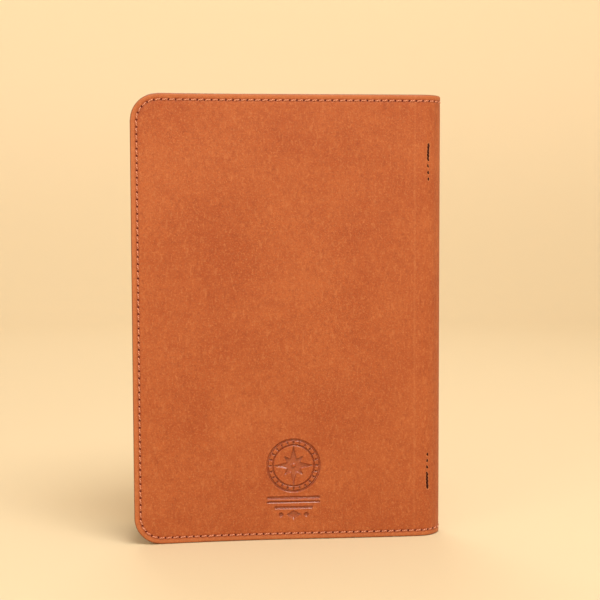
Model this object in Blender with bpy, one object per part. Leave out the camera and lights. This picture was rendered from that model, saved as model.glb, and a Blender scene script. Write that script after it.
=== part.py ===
"""Passport holder wallet: a tall leather travel wallet that stands on its bottom edge, slightly open.

Two leather covers are joined by a rounded spine. Each is lined, the back one carries a full-height
passport pocket and the front one a full-height document pocket with four stepped card pockets on it.
The spine unrolls as the wallet opens, so it is cut into three strips at four fold lines.
Metres, +Z up. The origin is at the middle of the footprint: the spine is at +X, the open edges at -X,
the back cover faces -Y and the front cover +Y.
"""

from math import atan2, ceil, cos, pi, radians, sin, tan

import bmesh
import bpy
from mathutils import Matrix, Vector

# Driving dimensions
HEIGHT = 0.210
WIDTH = 0.146
SPINE_RADIUS = 0.012        # outer face of the rounded spine
SPREAD = radians(4.1)       # each cover leans out by this much from parallel
CORNER_RADIUS = 0.0130      # the two corners at the open edge
COVER_LEATHER = 0.0020
LINING_LEATHER = 0.0008
POCKET_LEATHER = 0.0010
CARD_LEATHER = 0.0008
CLEARANCE = 0.0003          # between pieces that touch

SEAM_INSET = 0.0030         # the seam's line from the cut edge
THREAD_RADIUS = 0.00035
THREAD_SINK = 0.00025       # the outer thread's centre below the leather's face
TACK_FROM_SPINE = 0.0055    # the two short rows from the spine's outermost line
TACK_START = 0.0225         # from the top or bottom edge
TACK_LENGTH = 0.0185
TACK_MARGIN = 0.0018        # passport pocket leather past the short rows

DOCUMENT_POCKET_SETBACK = 0.004     # its free edge from where the spine's curve starts
CARD_POCKETS = 4
CARD_POCKET_WIDTH = 0.096
CARD_POCKET_HEIGHT = 0.052
CARD_STEP = 0.014
CARD_OVERLAP = 0.006        # how far a pocket's wings reach under the next pocket
CARD_TUCK = 0.004           # a pocket's body is narrower than its wings by this, each side
CARD_FROM_EDGE = 0.008      # from the open edge
CARD_FROM_BOTTOM = 0.010
CARD_SEAM_INSET = 0.0025

EMBLEM_FROM_EDGE = 0.075
EMBLEM_DEPTH = 0.0004
COMPASS_FROM_BOTTOM = 0.0355
RING_RADIUS = 0.0125
RING_WIDTH = 0.0010
STAR_LONG = 0.0105          # tips up, down and to the sides
STAR_SHORT = 0.0062         # tips between them
STAR_WAIST = 0.0026
RULES = ((0.0195, 0.025), (0.0158, 0.017))      # height above the bottom edge and width of each
RULE_THICKNESS = 0.0011
LOZENGE_FROM_BOTTOM = 0.0122
LOZENGE = (0.0022, 0.0014)

CURVE_STEP = radians(9)     # longest turn between two points of a curve
BACK, FRONT = -1, 1         # the side of Y on which a cover lies

# Depths are measured inwards from the outer face of the leather.
LINING_DEPTH = COVER_LEATHER + CLEARANCE
POCKET_DEPTH = LINING_DEPTH + LINING_LEATHER + CLEARANCE
CARD_DEPTH = POCKET_DEPTH + POCKET_LEATHER + CLEARANCE
CARD_PITCH = CARD_LEATHER + CLEARANCE
THREAD_LIFT = CLEARANCE + THREAD_RADIUS     # an inner thread's centre above its face

# The spine is an arc from one cover to the other, about a line at (SPINE_X, 0).
SPINE_X = WIDTH / 2 - SPINE_RADIUS
ARC_END = pi / 2 - SPREAD
COVER_LENGTH = (SPINE_X + SPINE_RADIUS * sin(SPREAD) + WIDTH / 2) / cos(SPREAD)

# The spine folds along two lines on each side of its middle, and each fold takes up an equal part of the
# turn. A fold's axis lies where the leather's length stays the same when the fold is laid flat.
FOLD_TURN = ARC_END / 2
OUTER_FOLD = FOLD_TURN * 3 / 2      # angles round the spine from its middle
INNER_FOLD = FOLD_TURN / 2
FOLD_DISTANCE = SPINE_RADIUS * (FOLD_TURN / 2) / sin(FOLD_TURN / 2)
FOLD_REACH = FOLD_DISTANCE - SPINE_RADIUS + POCKET_DEPTH + POCKET_LEATHER
FOLD_GAP = CLEARANCE + FOLD_REACH * tan(SPREAD / 2)     # room for the covers to close to parallel
SPINE_STRIPS = {
    "back": (-OUTER_FOLD, -INNER_FOLD),
    "middle": (-INNER_FOLD, INNER_FOLD),
    "front": (INNER_FOLD, OUTER_FOLD),
}

LEATHER = (0.56, 0.135, 0.045, 1.0)
LINING = (0.50, 0.150, 0.060, 1.0)
THREAD = (0.72, 0.36, 0.22, 1.0)

materials = {}


def clear_scene():
    for scene_object in list(bpy.data.objects):
        bpy.data.objects.remove(scene_object, do_unlink=True)


def new_collection(name):
    collection = bpy.data.collections.new(name)
    bpy.context.scene.collection.children.link(collection)
    return collection


def add_material(name, colour, roughness):
    material = bpy.data.materials.new(name)
    material.use_nodes = True
    shader = material.node_tree.nodes["Principled BSDF"]
    shader.inputs["Base Color"].default_value = colour
    shader.inputs["Roughness"].default_value = roughness
    shader.inputs["Metallic"].default_value = 0.0
    materials[name] = material


def arc_angle(along):
    """The angle round the spine, from its middle, of a point on the curved stretch (along < 0)."""
    return ARC_END + along / SPINE_RADIUS


def along_at(angle):
    """The distance along the leather of an angle round the spine."""
    return (angle - ARC_END) * SPINE_RADIUS


def place(side, along, depth, z=0.0):
    """A point of a cover or of the spine. along runs from the spine's curve (0) to the open edge,
    and is negative on the curve; depth is measured inwards from the outer face."""
    angle = arc_angle(min(along, 0.0))
    radius = SPINE_RADIUS - depth
    straight = max(along, 0.0)
    x = SPINE_X + radius * cos(angle) - straight * cos(SPREAD)
    y = radius * sin(angle) + straight * sin(SPREAD)
    return Vector((x, side * y, z))


def steps_between(first, last):
    """Distances along the leather from first to last, closer together on the curve."""
    points = [first]
    if min(first, last) < 0:
        curve_first, curve_last = min(first, 0.0), min(last, 0.0)
        count = max(1, ceil(abs(curve_last - curve_first) / SPINE_RADIUS / CURVE_STEP))
        points += [curve_first + (curve_last - curve_first) * i / count for i in range(count + 1)]
    points.append(last)
    kept = [points[0]]
    for point in points[1:]:
        if abs(point - kept[-1]) > 1e-6:
            kept.append(point)
    return kept


def to_mesh(curve_object):
    """The curve as a mesh object of the same name, with its caps welded on."""
    graph = bpy.context.evaluated_depsgraph_get()
    mesh = bpy.data.meshes.new_from_object(curve_object.evaluated_get(graph))
    shape = bmesh.new()
    shape.from_mesh(mesh)
    bmesh.ops.remove_doubles(shape, verts=shape.verts, dist=1e-6)
    bmesh.ops.recalc_face_normals(shape, faces=shape.faces)
    shape.to_mesh(mesh)
    shape.free()
    name, matrix = curve_object.name, curve_object.matrix_world.copy()
    collection = curve_object.users_collection[0]
    bpy.data.objects.remove(curve_object, do_unlink=True)
    mesh_object = bpy.data.objects.new(name, mesh)
    mesh_object.matrix_world = matrix
    collection.objects.link(mesh_object)
    return mesh_object


def finish(piece, material):
    piece.data.materials.clear()
    piece.data.materials.append(materials[material])
    return piece


def outline_plate(name, points, half_thickness, collection, matrix=None):
    """A flat outline, drawn in XY and thickened along Z."""
    curve = bpy.data.curves.new(name, "CURVE")
    curve.dimensions = "2D"
    curve.fill_mode = "BOTH"
    curve.extrude = half_thickness
    spline = curve.splines.new("POLY")
    spline.points.add(len(points) - 1)
    for point, (x, y) in zip(spline.points, points):
        point.co = (x, y, 0.0, 1.0)
    spline.use_cyclic_u = True
    plate = bpy.data.objects.new(name, curve)
    plate.matrix_world = matrix or Matrix.Identity(4)
    collection.objects.link(plate)
    bpy.context.view_layer.update()
    return to_mesh(plate)


def tube(name, points, radius, collection):
    """A round bead through the points, with closed ends."""
    curve = bpy.data.curves.new(name, "CURVE")
    curve.dimensions = "3D"
    curve.bevel_depth = radius
    curve.bevel_resolution = 2
    curve.use_fill_caps = True
    spline = curve.splines.new("POLY")
    spline.points.add(len(points) - 1)
    for point, co in zip(spline.points, points):
        point.co = (*co, 1.0)
    bead = bpy.data.objects.new(name, curve)
    collection.objects.link(bead)
    bpy.context.view_layer.update()
    return to_mesh(bead)


def strip(name, side, depth, thickness, first, last, material):
    """A full-height layer that follows the cover and the spine's curve, between two places along it."""
    stops = steps_between(first, last)
    outer = [place(side, along, depth).xy for along in stops]
    inner = [place(side, along, depth + thickness).xy for along in reversed(stops)]
    matrix = Matrix.Translation((0.0, 0.0, HEIGHT / 2))
    layer = outline_plate(name, outer + inner, HEIGHT / 2, parts, matrix)
    return finish(layer, material)


def cut(piece, cutter, operation="DIFFERENCE"):
    modifier = piece.modifiers.new(cutter.name, "BOOLEAN")
    modifier.operation = operation
    modifier.solver = "EXACT"
    modifier.object = cutter


def as_cutter(piece):
    piece.hide_render = True
    piece.display_type = "WIRE"
    return piece


def corner_points(centre, radius, start):
    """A quarter circle round centre, from the angle start, as (x, y) points."""
    count = ceil(pi / 2 / CURVE_STEP)
    angles = [start + pi / 2 * i / count for i in range(count + 1)]
    return [(centre[0] + radius * cos(a), centre[1] + radius * sin(a)) for a in angles]


def trimming_outline():
    """The cut shape of a closed wallet, seen from the side: square at the spine, round at the open edge."""
    left, right = -WIDTH / 2, WIDTH / 2 + SPINE_RADIUS
    inside = left + CORNER_RADIUS
    points = [(right, -CORNER_RADIUS), (right, HEIGHT + CORNER_RADIUS)]
    points += [(inside, HEIGHT + CORNER_RADIUS)]
    points += corner_points((inside, HEIGHT - CORNER_RADIUS), CORNER_RADIUS, pi / 2)
    points += corner_points((inside, CORNER_RADIUS), CORNER_RADIUS, pi)
    points += [(inside, -CORNER_RADIUS)]
    upright = Matrix.Rotation(pi / 2, 4, "X")
    reach = 2 * SPINE_RADIUS + COVER_LENGTH * sin(SPREAD)
    return as_cutter(outline_plate("trim_edges", points, reach, cutters, upright))


def seam_line(start):
    """The perimeter seam of one cover as (along, z) pairs, from the top near the spine, round the open
    edge, to the bottom near the spine."""
    radius = CORNER_RADIUS - SEAM_INSET
    far = COVER_LENGTH - SEAM_INSET
    top, bottom = HEIGHT - SEAM_INSET, SEAM_INSET
    across = steps_between(start, far - radius)
    line = [(along, top) for along in across]
    count = ceil(pi / 2 / CURVE_STEP)
    for i in range(1, count + 1):
        turn = pi / 2 * i / count
        line.append((far - radius + radius * sin(turn), top - radius + radius * cos(turn)))
    for i in range(count + 1):
        turn = pi / 2 * i / count
        line.append((far - radius + radius * cos(turn), bottom + radius - radius * sin(turn)))
    return line + [(along, bottom) for along in reversed(across[:-1])]


def lengthened(points, by):
    """The line with both ends drawn out, for a cutter that has to pass an edge."""
    first = points[0] + (points[0] - points[1]).normalized() * by
    last = points[-1] + (points[-1] - points[-2]).normalized() * by
    return [first] + points[1:-1] + [last]


def groove(piece, name, points, past_the_end):
    """A channel round a thread, so that it lies in the leather with a clearance all round."""
    line = lengthened(points, past_the_end)
    cutter = as_cutter(tube(name, line, THREAD_RADIUS + CLEARANCE, cutters))
    cut(piece, cutter)


def build_covers(trim):
    """The outer leather: one hide in the real wallet, split here where it folds."""
    covers = {}
    fold = along_at(OUTER_FOLD) + FOLD_GAP / 2
    beyond = COVER_LENGTH + CORNER_RADIUS
    for side, name in ((BACK, "cover_back"), (FRONT, "cover_front")):
        cover = strip(name, side, 0.0, COVER_LEATHER, fold, beyond, "leather")
        cut(cover, trim, "INTERSECT")
        covers[name] = cover
    for strip_name in SPINE_STRIPS:
        name = f"cover_spine_{strip_name}"
        covers[name] = spine_strip(name, strip_name, 0.0, COVER_LEATHER, "leather")
    return covers


def spine_angles(strip_name, gap):
    """Angles across a strip of the spine, which stops this far short of its fold lines."""
    first, last = SPINE_STRIPS[strip_name]
    first, last = first + gap / SPINE_RADIUS, last - gap / SPINE_RADIUS
    count = ceil((last - first) / CURVE_STEP)
    return [first + (last - first) * i / count for i in range(count + 1)]


def spine_strip(name, strip_name, depth, thickness, material):
    """A layer of the spine, between two fold lines."""
    angles = spine_angles(strip_name, FOLD_GAP / 2)
    outer_radius, inner_radius = SPINE_RADIUS - depth, SPINE_RADIUS - depth - thickness
    outline = [(SPINE_X + outer_radius * cos(a), outer_radius * sin(a)) for a in angles]
    outline += [(SPINE_X + inner_radius * cos(a), inner_radius * sin(a)) for a in reversed(angles)]
    matrix = Matrix.Translation((0.0, 0.0, HEIGHT / 2))
    return finish(outline_plate(name, outline, HEIGHT / 2, parts, matrix), material)


def build_linings(trim):
    fold = along_at(OUTER_FOLD) + FOLD_GAP / 2
    beyond = COVER_LENGTH + CORNER_RADIUS
    for side, name in ((BACK, "lining_back"), (FRONT, "lining_front")):
        lining = strip(name, side, LINING_DEPTH, LINING_LEATHER, fold, beyond, "lining")
        cut(lining, trim, "INTERSECT")
    for strip_name in SPINE_STRIPS:
        name = f"lining_spine_{strip_name}"
        spine_strip(name, strip_name, LINING_DEPTH, LINING_LEATHER, "lining")


def tack_along():
    """Where the two short rows run: on the curve, at a set distance from the spine's outermost line."""
    across = (SPINE_RADIUS - TACK_FROM_SPINE) / SPINE_RADIUS
    angle = atan2((1.0 - across ** 2) ** 0.5, across)
    return along_at(angle)


def build_pockets(trim):
    """The two full-height pocket panels. Each is sewn in on three sides and open towards the spine."""
    beyond = COVER_LENGTH + CORNER_RADIUS
    edge = tack_along() - TACK_MARGIN
    passport = strip("passport_pocket", BACK, POCKET_DEPTH, POCKET_LEATHER, edge, beyond, "leather")
    cut(passport, trim, "INTERSECT")
    edge = DOCUMENT_POCKET_SETBACK
    document = strip("document_pocket", FRONT, POCKET_DEPTH, POCKET_LEATHER, edge, beyond, "leather")
    cut(document, trim, "INTERSECT")


def card_depth(number):
    """The depth of the outer face of a card pocket. Pocket 1 lies on the document pocket."""
    return CARD_DEPTH + (number - 1) * CARD_PITCH


def card_top(number):
    return CARD_FROM_BOTTOM + CARD_POCKET_HEIGHT + (CARD_POCKETS - number) * CARD_STEP


def card_outline(number):
    """(along, z) points: the lowest pocket is a rectangle, the others are T-shaped, so that only their
    wings reach the side seams."""
    far = COVER_LENGTH - CARD_FROM_EDGE
    near = far - CARD_POCKET_WIDTH
    top = card_top(number)
    bottom = top - CARD_POCKET_HEIGHT
    if number == CARD_POCKETS:
        return [(near, bottom), (far, bottom), (far, top), (near, top)]
    wing = top - CARD_STEP - CARD_OVERLAP
    body_near, body_far = near + CARD_TUCK, far - CARD_TUCK
    body = [(body_near, bottom), (body_far, bottom), (body_far, wing)]
    return body + [(far, wing), (far, top), (near, top), (near, wing), (body_near, wing)]


def front_panel_matrix(depth):
    """Places a drawing of (along, z) on the inside of the front cover, its middle at this depth."""
    origin = place(FRONT, 0.0, depth)
    along = (place(FRONT, 1.0, depth) - origin).normalized()
    up = Vector((0.0, 0.0, 1.0))
    matrix = Matrix((along, up, along.cross(up))).transposed().to_4x4()
    matrix.translation = origin
    return matrix


def build_card_pockets():
    for number in range(1, CARD_POCKETS + 1):
        matrix = front_panel_matrix(card_depth(number) + CARD_LEATHER / 2)
        outline = card_outline(number)
        pocket = outline_plate(f"card_pocket_{number}", outline, CARD_LEATHER / 2, parts, matrix)
        finish(pocket, "leather")


def card_seam_depth(number):
    return card_depth(number) + CARD_LEATHER + THREAD_LIFT


def build_card_thread():
    """The seam that holds the card pockets: down one side, along the bottom and up the other side. It
    steps from each pocket's face to the next at the pocket's mouth."""
    far = COVER_LENGTH - CARD_FROM_EDGE - CARD_SEAM_INSET
    near = COVER_LENGTH - CARD_FROM_EDGE - CARD_POCKET_WIDTH + CARD_SEAM_INSET
    bottom = CARD_FROM_BOTTOM + CARD_SEAM_INSET
    down = [(far, card_top(1) - CARD_SEAM_INSET, card_seam_depth(1))]
    for number in range(2, CARD_POCKETS + 1):
        above = card_top(number) + THREAD_LIFT + THREAD_RADIUS
        down.append((far, above, card_seam_depth(number - 1)))
        down.append((far, above, card_seam_depth(number)))
    deepest = card_seam_depth(CARD_POCKETS)
    line = down + [(far, bottom, deepest), (near, bottom, deepest)]
    line += [(near, z, depth) for _, z, depth in reversed(down)]
    points = [place(FRONT, along, depth, z) for along, z, depth in line]
    finish(tube("card_thread", points, THREAD_RADIUS, parts), "thread")


def build_perimeter_threads(covers):
    """Each cover's seam shows twice: as a thread in a groove outside, and as one on the leather inside."""
    first = along_at(OUTER_FOLD) + FOLD_GAP
    for side, name in ((BACK, "back"), (FRONT, "front")):
        outside = [place(side, along, THREAD_SINK, z) for along, z in seam_line(first)]
        groove(covers["cover_" + name], f"groove_{name}", outside, FOLD_GAP)
        thread = tube(f"seam_thread_{name}_outside", outside, THREAD_RADIUS, parts)
        finish(thread, "thread")
    on_pocket = POCKET_DEPTH + POCKET_LEATHER + THREAD_LIFT
    back_line = seam_line(tack_along() - TACK_MARGIN + THREAD_RADIUS)
    back = [place(BACK, along, on_pocket, z) for along, z in back_line]
    finish(tube("seam_thread_back_inside", back, THREAD_RADIUS, parts), "thread")
    # The document pocket stops short of the fold, so the front seam starts on the lining and climbs.
    on_lining = LINING_DEPTH + LINING_LEATHER + THREAD_LIFT
    climb = DOCUMENT_POCKET_SETBACK - CLEARANCE - THREAD_RADIUS
    approach = steps_between(first, climb)
    front_line = seam_line(climb)
    top, bottom = front_line[0][1], front_line[-1][1]
    path = [place(FRONT, along, on_lining, top) for along in approach]
    path += [place(FRONT, along, on_pocket, z) for along, z in front_line]
    path += [place(FRONT, along, on_lining, bottom) for along in reversed(approach)]
    finish(tube("seam_thread_front_inside", path, THREAD_RADIUS, parts), "thread")


def build_spine_threads(covers):
    """The seam's short stretches across the spine, at the top and the bottom of each strip."""
    inner_radius = SPINE_RADIUS - LINING_DEPTH - LINING_LEATHER - THREAD_LIFT
    pocket_edge = arc_angle(tack_along() - TACK_MARGIN) - 2 * CLEARANCE / inner_radius
    for strip_name in SPINE_STRIPS:
        angles = spine_angles(strip_name, FOLD_GAP)
        clear = [max(angle, -pocket_edge) for angle in angles]
        inner_angles = [a for i, a in enumerate(clear) if i == 0 or a > clear[i - 1]]
        for end, z in (("top", HEIGHT - SEAM_INSET), ("bottom", SEAM_INSET)):
            name = f"spine_thread_{strip_name}_{end}"
            outside = spine_arc(angles, SPINE_RADIUS - THREAD_SINK, z)
            groove(covers[f"cover_spine_{strip_name}"], f"groove_{name}", outside, FOLD_GAP)
            finish(tube(f"{name}_outside", outside, THREAD_RADIUS, parts), "thread")
            inside = spine_arc(inner_angles, inner_radius, z)
            finish(tube(f"{name}_inside", inside, THREAD_RADIUS, parts), "thread")


def spine_arc(angles, radius, z):
    return [Vector((SPINE_X + radius * cos(a), radius * sin(a), z)) for a in angles]


def build_tack_threads(covers):
    """Two short rows by the spine that hold the passport pocket's free edge. The slot between them
    takes a passport's cover."""
    along = tack_along()
    outer_ends = (TACK_START, HEIGHT - TACK_START - TACK_LENGTH)
    for name, low in zip(("bottom", "top"), outer_ends):
        heights = (low, low + TACK_LENGTH)
        outside = [place(BACK, along, THREAD_SINK, z) for z in heights]
        groove(covers["cover_spine_back"], f"groove_tack_{name}", outside, CLEARANCE)
        finish(tube(f"tack_thread_{name}_outside", outside, THREAD_RADIUS, parts), "thread")
        depth = POCKET_DEPTH + POCKET_LEATHER + THREAD_LIFT
        inside = [place(BACK, along, depth, z) for z in heights]
        finish(tube(f"tack_thread_{name}_inside", inside, THREAD_RADIUS, parts), "thread")


def star_points():
    """An eight-pointed star: long and short tips in turn, with a waist between each two."""
    radii = (STAR_LONG, STAR_WAIST, STAR_SHORT, STAR_WAIST)
    angles = [pi / 8 * i for i in range(16)]
    return [(radii[i % 4] * cos(a), radii[i % 4] * sin(a)) for i, a in enumerate(angles)]


def ring_halves():
    """The ring as two half rings that meet end to end, each a closed outline."""
    count = ceil(pi / CURVE_STEP)
    halves = []
    for start in (0.0, pi):
        angles = [start + pi * i / count for i in range(count + 1)]
        outer = [(RING_RADIUS * cos(a), RING_RADIUS * sin(a)) for a in angles]
        inner_radius = RING_RADIUS - RING_WIDTH
        inner = [(inner_radius * cos(a), inner_radius * sin(a)) for a in reversed(angles)]
        halves.append(outer + inner)
    return halves


def build_emblem(cover):
    """A compass rose over two rules and a lozenge, pressed a little into the back cover."""
    shapes = [("star", COMPASS_FROM_BOTTOM, star_points())]
    for number, half in enumerate(ring_halves(), 1):
        shapes.append((f"ring_{number}", COMPASS_FROM_BOTTOM, half))
    for number, (height, width) in enumerate(RULES, 1):
        x, y = width / 2, RULE_THICKNESS / 2
        shapes.append((f"rule_{number}", height, [(-x, -y), (x, -y), (x, y), (-x, y)]))
    x, y = LOZENGE
    shapes.append(("lozenge", LOZENGE_FROM_BOTTOM, [(-x, 0), (0, -y), (x, 0), (0, y)]))
    turn = Matrix.Rotation(SPREAD, 4, "Z") @ Matrix.Rotation(pi / 2, 4, "X")
    for name, height, outline in shapes:
        middle = place(BACK, COVER_LENGTH - EMBLEM_FROM_EDGE, 0.0, height)
        matrix = Matrix.Translation(middle) @ turn
        cut(cover, as_cutter(outline_plate(f"press_{name}", outline, EMBLEM_DEPTH, cutters, matrix)))


clear_scene()
parts = new_collection("passport_holder_wallet")
cutters = new_collection("cutters")
add_material("leather", LEATHER, 0.62)
add_material("lining", LINING, 0.70)
add_material("thread", THREAD, 0.80)

trim_cutter = trimming_outline()
cover_pieces = build_covers(trim_cutter)
build_linings(trim_cutter)
build_pockets(trim_cutter)
build_card_pockets()
build_perimeter_threads(cover_pieces)
build_spine_threads(cover_pieces)
build_tack_threads(cover_pieces)
build_card_thread()
build_emblem(cover_pieces["cover_back"])
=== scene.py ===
import math

import bpy
import numpy as np
from mathutils import Matrix, Vector


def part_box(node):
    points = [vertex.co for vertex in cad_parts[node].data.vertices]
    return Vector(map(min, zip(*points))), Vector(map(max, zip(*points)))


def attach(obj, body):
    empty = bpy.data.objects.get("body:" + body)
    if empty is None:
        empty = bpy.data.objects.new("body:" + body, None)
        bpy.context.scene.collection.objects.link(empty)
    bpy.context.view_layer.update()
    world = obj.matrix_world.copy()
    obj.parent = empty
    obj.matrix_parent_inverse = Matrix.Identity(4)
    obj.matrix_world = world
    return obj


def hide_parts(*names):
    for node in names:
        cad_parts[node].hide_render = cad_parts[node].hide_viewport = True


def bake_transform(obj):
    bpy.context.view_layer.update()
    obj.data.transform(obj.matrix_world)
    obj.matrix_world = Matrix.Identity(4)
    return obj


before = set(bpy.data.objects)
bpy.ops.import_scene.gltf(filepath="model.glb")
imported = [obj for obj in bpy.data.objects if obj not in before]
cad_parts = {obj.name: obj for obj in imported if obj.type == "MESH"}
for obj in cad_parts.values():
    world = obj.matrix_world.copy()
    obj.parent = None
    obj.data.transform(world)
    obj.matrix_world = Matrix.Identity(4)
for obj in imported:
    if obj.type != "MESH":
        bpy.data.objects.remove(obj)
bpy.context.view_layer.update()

# Cover leather: one long piece of tan hide that wraps from the back cover round the spine to the front.
# It is cut 2 mm thick, its outer corners are rounded, and its cut edges are rubbed down and burnished.
# The spine unrolls at four folds, so the hide is laid as four lengths that meet in the middle of a strip.
BACK, FRONT = -1, 1
SPINE_RADIUS = 0.012
SPREAD = math.radians(4.1)  # each cover leans out by this much
CORNER = 0.0130
HOLLOW = 0.0024             # how far each cover bows in towards the other
RIPPLE = 0.00022
LOW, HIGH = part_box("cover_back")
HEIGHT = HIGH.z
SPINE_X = -LOW.x - SPINE_RADIUS         # the spine is an arc about a line here
ARC = math.pi / 2 - SPREAD
LENGTH = (SPINE_X + SPINE_RADIUS * math.sin(SPREAD) - LOW.x) / math.cos(SPREAD)
MIDDLE = -ARC * SPINE_RADIUS            # the spine's middle line, and the line halfway to it
HALFWAY = MIDDLE / 2
SEAM_INSET = 0.0030                     # the seam, in from the cut edge
SEAM_ROUND = CORNER - SEAM_INSET
RUN, BEND, RISE = LENGTH - CORNER - MIDDLE, SEAM_ROUND * math.pi / 2, HEIGHT - 2 * CORNER
SEAM_LENGTH = 2 * (RUN + BEND) + RISE
STITCHES = round(SEAM_LENGTH / 0.0033)
PITCH = SEAM_LENGTH / STITCHES
TACK_FROM_SPINE = 0.0068                # the two short rows, from the spine's outermost line
TACK_LINE = (math.acos(1 - TACK_FROM_SPINE / SPINE_RADIUS) - ARC) * SPINE_RADIUS
TACKS, TACK_START, TACK_LENGTH = 6, 0.0225, 0.0185
TACK_PITCH = TACK_LENGTH / TACKS


def wrap(side, along, depth, height):
    """Takes points of the flat pattern on to the wallet. `along` is 0 where the spine's curve ends, more
    towards the open edge, and below 0 round the curve; `depth` is measured in from the outer face.
    The flat part bows in by HOLLOW (27/4) t^2 (1 - t), where t goes from 0 at the curve to 1 at the open
    edge, and ripples by the product of two slow sines that cross each other."""
    t = np.clip(along / LENGTH, 0, 1)
    ripple = RIPPLE * np.sin(61 * along + 34 * height + 0.8) * np.sin(47 * height - 13 * along)
    depth = depth + HOLLOW * 27 / 4 * t ** 2 * (1 - t) + ripple * np.clip(t * 6, 0, 1)
    angle = ARC + np.minimum(along, 0) / SPINE_RADIUS
    straight = np.maximum(along, 0) * (1 - depth * math.tan(SPREAD) / LENGTH)
    x = SPINE_X + (SPINE_RADIUS - depth) * np.cos(angle) - straight * math.cos(SPREAD)
    y = (SPINE_RADIUS - depth) * np.sin(angle) + straight * math.sin(SPREAD)
    return np.stack([x, side * y, height + 0 * x], axis=-1)


def round_off(along, height, outline, corners):
    """Rounds a rectangle's corners. In a corner's block the unit square (u, v) goes to the quarter disc
    by u sqrt(1 - v^2 / 2), v sqrt(1 - u^2 / 2), and its edges stay on the disc's edge."""
    near, far, foot, top = outline
    for right, up, radius in corners:
        centre = (far - radius if right > 0 else near + radius, top - radius if up > 0 else foot + radius)
        u = np.clip(right * (along - centre[0]) / radius, 0, 1)
        v = np.clip(up * (height - centre[1]) / radius, 0, 1)
        along = along + right * radius * u * (np.sqrt(1 - v ** 2 / 2) - 1)
        height = height + up * radius * v * (np.sqrt(1 - u ** 2 / 2) - 1)
    return along, height


def in_from_edge(along, height, outline, corners):
    """How far a point lies in from the cut edge: the least of the distances to the four sides, or in a
    corner's block the distance to its arc."""
    near, far, foot, top = outline
    inset = np.minimum(np.minimum(along - near, far - along), np.minimum(height - foot, top - height))
    for right, up, radius in corners:
        u = right * (along - (far - radius if right > 0 else near + radius))
        v = up * (height - (top - radius if up > 0 else foot + radius))
        inset = np.where((u > 0) & (v > 0), radius - np.hypot(u, v), inset)
    return inset


def along_seam(along, height):
    """How far round the seam a point lies, from the foot of the spine's middle line: out along the foot,
    round the corner, up the open edge, round the other corner and back along the top."""
    u = along - (LENGTH - CORNER)
    below, above = CORNER - height, height - (HEIGHT - CORNER)
    turn_low = SEAM_ROUND * np.arctan2(np.maximum(u, 0), np.maximum(below, 1e-9))
    turn_high = SEAM_ROUND * np.arctan2(np.maximum(above, 0), np.maximum(u, 1e-9))
    at_open_edge = LENGTH - along < np.minimum(height, HEIGHT - height)
    places = [(u > 0) & (below > 0), (u > 0) & (above > 0), at_open_edge, height < HEIGHT / 2]
    values = [RUN + turn_low, RUN + BEND + RISE + turn_high, RUN + BEND + height - CORNER, along - MIDDLE]
    return np.select(places, values, SEAM_LENGTH - (along - MIDDLE))


def spaced(first, last, step):
    """Equal steps, none longer than `step`, both ends included."""
    return np.linspace(first, last, max(1, math.ceil((last - first) / step - 1e-9)) + 1)


def outwards(points, faces):
    """Turns every face round if the volume that they enclose comes out below nothing."""
    a, b, c = (points[faces[:, i]] for i in range(3))
    volume = np.einsum("ij,ij->i", a, np.cross(b, c)).sum()
    if faces.shape[1] == 4:
        volume += np.einsum("ij,ij->i", a, np.cross(c, points[faces[:, 3]])).sum()
    return faces[:, ::-1] if volume < 0 else faces


def new_object(name, points, faces, material, marks):
    """A smooth mesh object from arrays of points and faces, with its named vector attributes."""
    mesh = bpy.data.meshes.new(name)
    mesh.from_pydata(points.tolist(), [], [f.tolist() for f in faces])
    for mark, values in marks.items():
        layer = mesh.attributes.new(mark, "FLOAT_VECTOR", "POINT")
        layer.data.foreach_set("vector", np.ascontiguousarray(values, dtype=np.float32).ravel())
    mesh.polygons.foreach_set("use_smooth", np.ones(len(mesh.polygons), dtype=bool))
    mesh.materials.append(material)
    made = bpy.data.objects.new(name, mesh)
    bpy.context.scene.collection.objects.link(made)
    return made


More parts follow.
